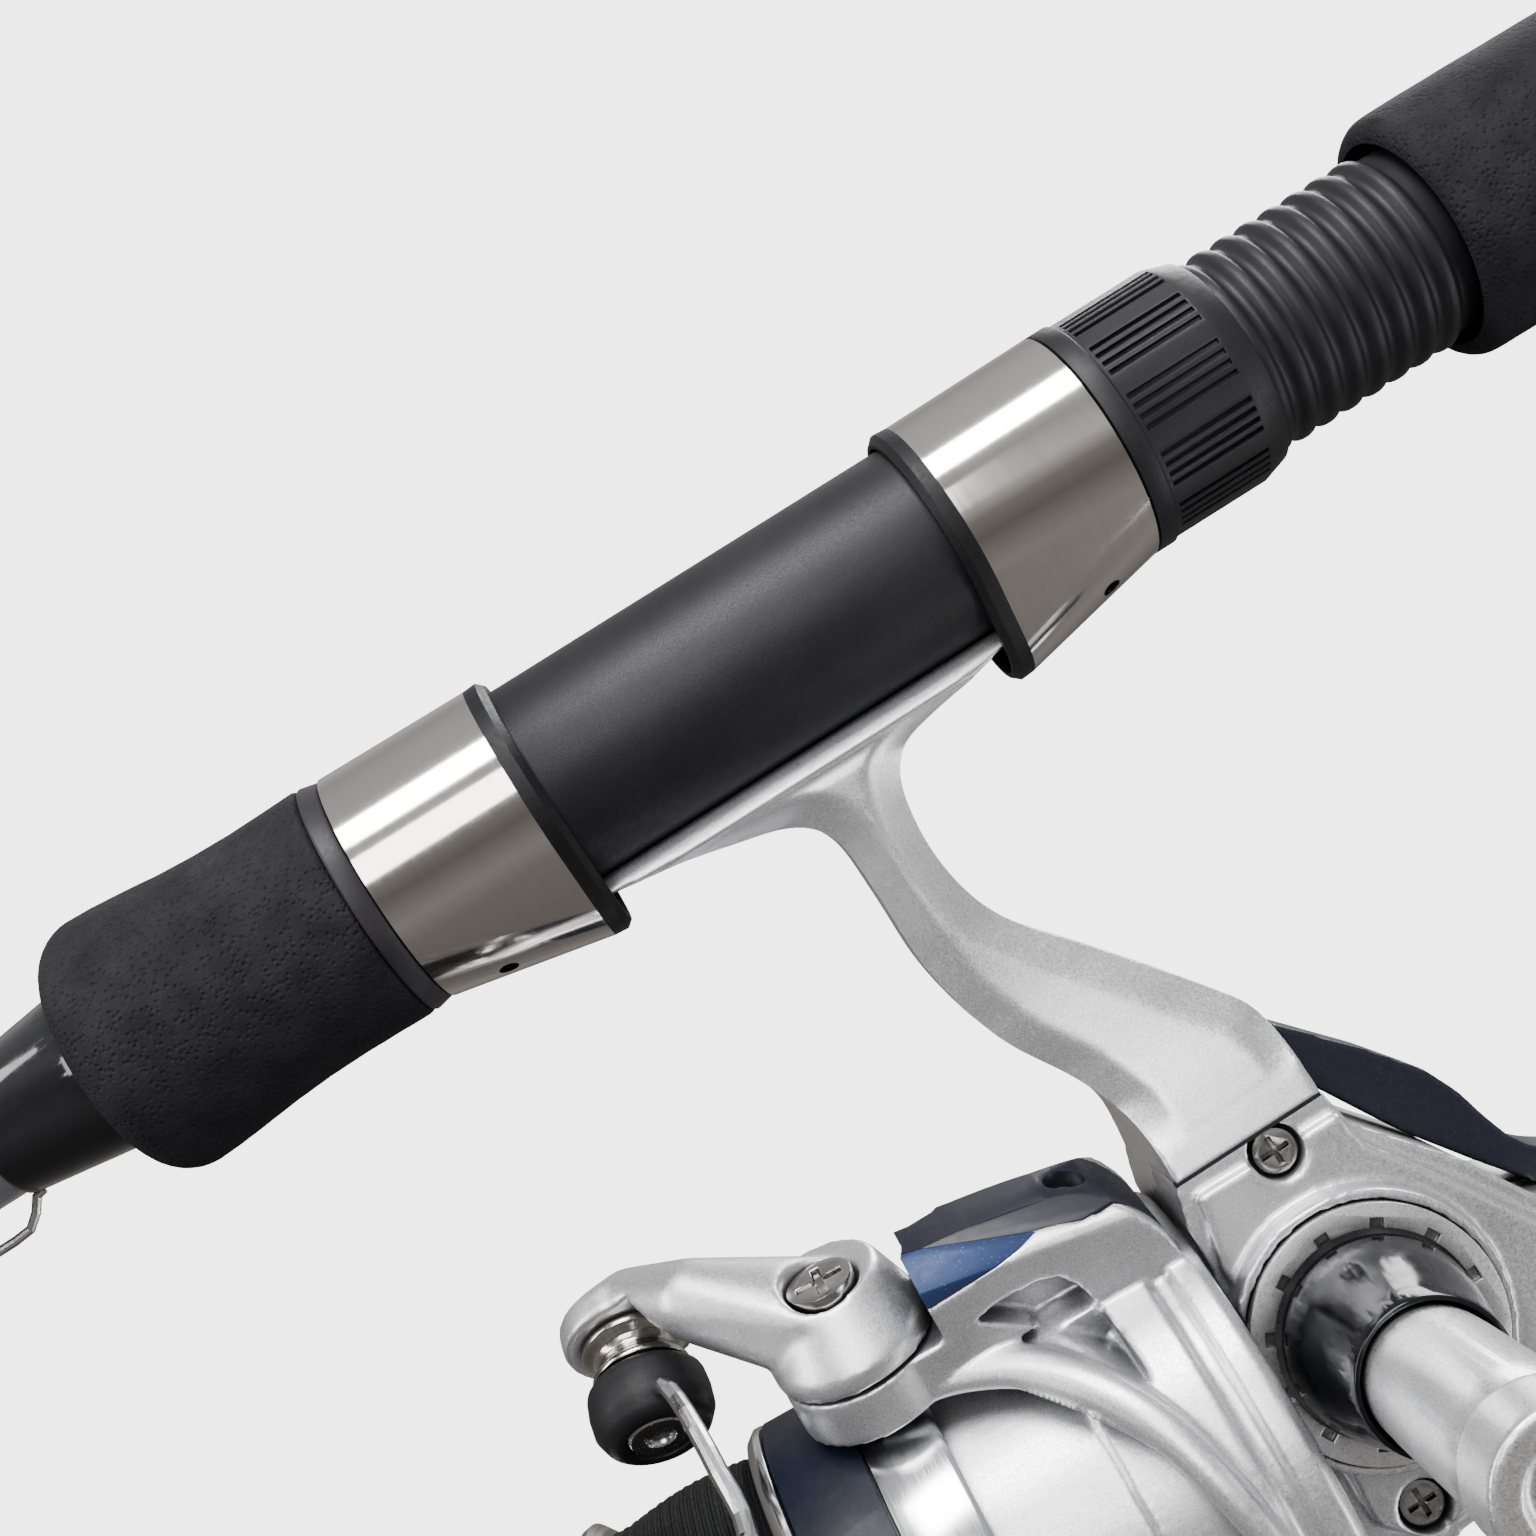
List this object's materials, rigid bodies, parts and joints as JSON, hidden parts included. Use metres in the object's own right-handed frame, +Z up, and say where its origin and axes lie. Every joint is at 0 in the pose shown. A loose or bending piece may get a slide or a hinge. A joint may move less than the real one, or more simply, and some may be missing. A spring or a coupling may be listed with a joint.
{
  "type": "telescopic spinning rod with reel",
  "caption": "Closed telescopic spinning rod with foam grips, a screw-down reel seat and a fixed-spool reel with crank, rotor, bail, spool and drag.",
  "frame": {"origin": "on the rod's axis inside the reel seat, where the hand closes round the reel's stem", "axes": "+X along the rod towards the tip, +Y towards the crank, +Z up with the reel hanging below the rod"},
  "size_m": [0.516, 0.1194, 0.1572],
  "materials": {
    "eva_foam": "fine closed-cell foam, dead matt",
    "black_lacquer": "deep glossy lacquer",
    "keeper_wire": "bright drawn wire",
    "thread_wrap": "lacquered thread",
    "grey_blank": "glossy dark grey lacquer over carbon and glass fibre",
    "black_blank": "satin black carbon",
    "trim_plastic": "satin dark plastic",
    "hood_steel": "polished stainless steel",
    "liner_rubber": "soft black lining",
    "seat_plastic": "satin charcoal with a faint sparkle",
    "guide_steel": "gunmetal plated steel",
    "guide_ceramic": "polished ceramic",
    "silver_paint": "silver metallic paint with a fine sparkle",
    "navy_paint": "satin navy black with pale speckles",
    "blue_paint": "metallic blue",
    "screw_steel": "plated cross-head screw",
    "bearing_steel": "ground bearing steel",
    "clutch_plastic": "blue moulded plastic",
    "gear_alloy": "cast gear alloy",
    "pinion_brass": "machined brass",
    "cup_plastic": "glossy black plastic",
    "crank_alloy": "silver lacquered alloy",
    "knob_rubber": "soft black grip",
    "white_nylon": "natural nylon",
    "roller_steel": "hard polished steel",
    "cap_rubber": "matt black moulding",
    "spool_alloy": "bright turned aluminium",
    "label_film": "plain blue-black band",
    "braided_line": "dark braided line, wound tight",
    "drag_felt": "felt and steel discs"
  },
  "bodies": {
    "rod_and_reel_case": {"fore_grip": "eva_foam", "winding_check": "black_lacquer", "hook_keeper": "keeper_wire", "thread_wraps": "thread_wrap", "butt_section": "grey_blank", "grip_collar": "trim_plastic", "front_hood": "hood_steel", "front_hood_liner": "liner_rubber", "seat_tube": "seat_plastic", "rear_grip": "eva_foam", "butt_cap": "cup_plastic", "butt_guide_frame": "guide_steel", "butt_guide_ring": "guide_ceramic", "reel_frame": "silver_paint", "side_cover": "silver_paint", "cover_screws": "screw_steel", "body_guard": "navy_paint", "hub_ring": "crank_alloy", "dust_cap": "cup_plastic", "case_bearings": "bearing_steel", "pinion_bearing": "bearing_steel", "one_way_clutch": "clutch_plastic"},
    "sliding_hood": {"rear_hood": "hood_steel", "rear_hood_liner": "liner_rubber"},
    "nut": {"hood_nut": "seat_plastic"},
    "second_section": {"section_2": "black_blank", "guide_2": "guide_steel"},
    "third_section": {"section_3": "black_blank", "guide_3": "guide_steel"},
    "fourth_section": {"section_4": "black_blank", "guide_4": "guide_steel"},
    "tip": {"tip_section": "black_blank", "tip_guide": "guide_steel"},
    "reverse_lever": {"anti_reverse_lever": "trim_plastic"},
    "crank": {"drive_gear": "gear_alloy", "handle_cup": "cup_plastic", "crank_shank": "crank_alloy", "crank_arm": "crank_alloy", "knob_spindle": "bearing_steel"},
    "crank_knob": {"knob": "knob_rubber", "knob_cap": "crank_alloy"},
    "traverse_gear": {"oscillation_gear": "white_nylon"},
    "shaft_carriage": {"oscillation_slider": "gear_alloy", "main_shaft": "bearing_steel"},
    "rotor_assembly": {"pinion": "pinion_brass", "rotor": "silver_paint", "rotor_nut": "bearing_steel", "arm_covers": "navy_paint", "arm_insets": "blue_paint", "pivot_screws": "screw_steel"},
    "bail": {"bail_arm": "silver_paint", "bail_cam": "silver_paint", "bail_wire": "keeper_wire", "roller_cap": "cap_rubber"},
    "roller": {"line_roller": "roller_steel"},
    "spool_assembly": {"spool": "spool_alloy", "spool_label": "label_film", "line_pack": "braided_line", "drag_washers": "drag_felt"},
    "drag_nut": {"drag_knob": "trim_plastic"}
  },
  "joints": [
    {"name": "second_section_slide", "type": "slide", "parent": "rod_and_reel_case", "child": "second_section", "axis": [1, 0, 0], "range_m": [0, 0.3]},
    {"name": "third_section_slide", "type": "slide", "parent": "second_section", "child": "third_section", "axis": [1, 0, 0], "range_m": [0, 0.3]},
    {"name": "fourth_section_slide", "type": "slide", "parent": "third_section", "child": "fourth_section", "axis": [1, 0, 0], "range_m": [0, 0.3]},
    {"name": "tip_slide", "type": "slide", "parent": "fourth_section", "child": "tip", "axis": [1, 0, 0], "range_m": [0, 0.3]},
    {"name": "hood_slide", "type": "slide", "parent": "rod_and_reel_case", "child": "sliding_hood", "axis": [-1, 0, 0], "range_m": [0, 0.014]},
    {"name": "nut_turn", "type": "hinge", "parent": "sliding_hood", "child": "nut", "pos_m": [-0.058, 0, 0], "axis": [1, 0, 0], "range_deg": [0, 1800]},
    {"name": "reverse_lever_turn", "type": "hinge", "parent": "rod_and_reel_case", "child": "reverse_lever", "pos_m": [-0.037, 0, -0.1056], "axis": [0, 1, 0], "range_deg": [0, 30]},
    {"name": "crank_spin", "type": "hinge", "parent": "rod_and_reel_case", "child": "crank", "pos_m": [-0.02552, 0, -0.08422], "axis": [0, 1, 0], "continuous": true},
    {"name": "knob_spin", "type": "hinge", "parent": "crank", "child": "crank_knob", "pos_m": [-0.0433, 0, -0.13308], "axis": [0, 1, 0], "continuous": true},
    {"name": "traverse_gear_spin", "type": "hinge", "parent": "rod_and_reel_case", "child": "traverse_gear", "pos_m": [-0.03799, 0, -0.09329], "axis": [0, 1, 0], "continuous": true},
    {"name": "rotor_spin", "type": "hinge", "parent": "rod_and_reel_case", "child": "rotor_assembly", "pos_m": [-0.025, 0, -0.0927], "axis": [0.9981, 0, 0.061], "continuous": true},
    {"name": "spool_traverse", "type": "slide", "parent": "rod_and_reel_case", "child": "shaft_carriage", "axis": [0.9981, 0, 0.061], "range_m": [-0.0092, 0.0032]},
    {"name": "spool_drag_spin", "type": "hinge", "parent": "shaft_carriage", "child": "spool_assembly", "pos_m": [-0.025, 0, -0.0927], "axis": [0.9981, 0, 0.061], "continuous": true},
    {"name": "drag_knob_turn", "type": "hinge", "parent": "shaft_carriage", "child": "drag_nut", "pos_m": [0.05285, 0, -0.08794], "axis": [0.9981, 0, 0.061], "range_deg": [-360, 360]},
    {"name": "bail_flip", "type": "hinge", "parent": "rotor_assembly", "child": "bail", "pos_m": [0.01832, 0, -0.09005], "axis": [0.059, -0.2588, -0.9641], "range_deg": [0, 86]},
    {"name": "line_roller_spin", "type": "hinge", "parent": "bail", "child": "roller", "pos_m": [0.03589, -0.004, -0.05141], "axis": [0.1314, 0.7123, -0.6895], "continuous": true}
  ],
  "couplings": [
    {"joint": "rotor_spin", "follows": "crank_spin", "ratio": -5.125},
    {"joint": "traverse_gear_spin", "follows": "crank_spin", "ratio": -1},
    {"joint": "hood_slide", "follows": "nut_turn", "m_per_rad": 0.00044563}
  ]
}
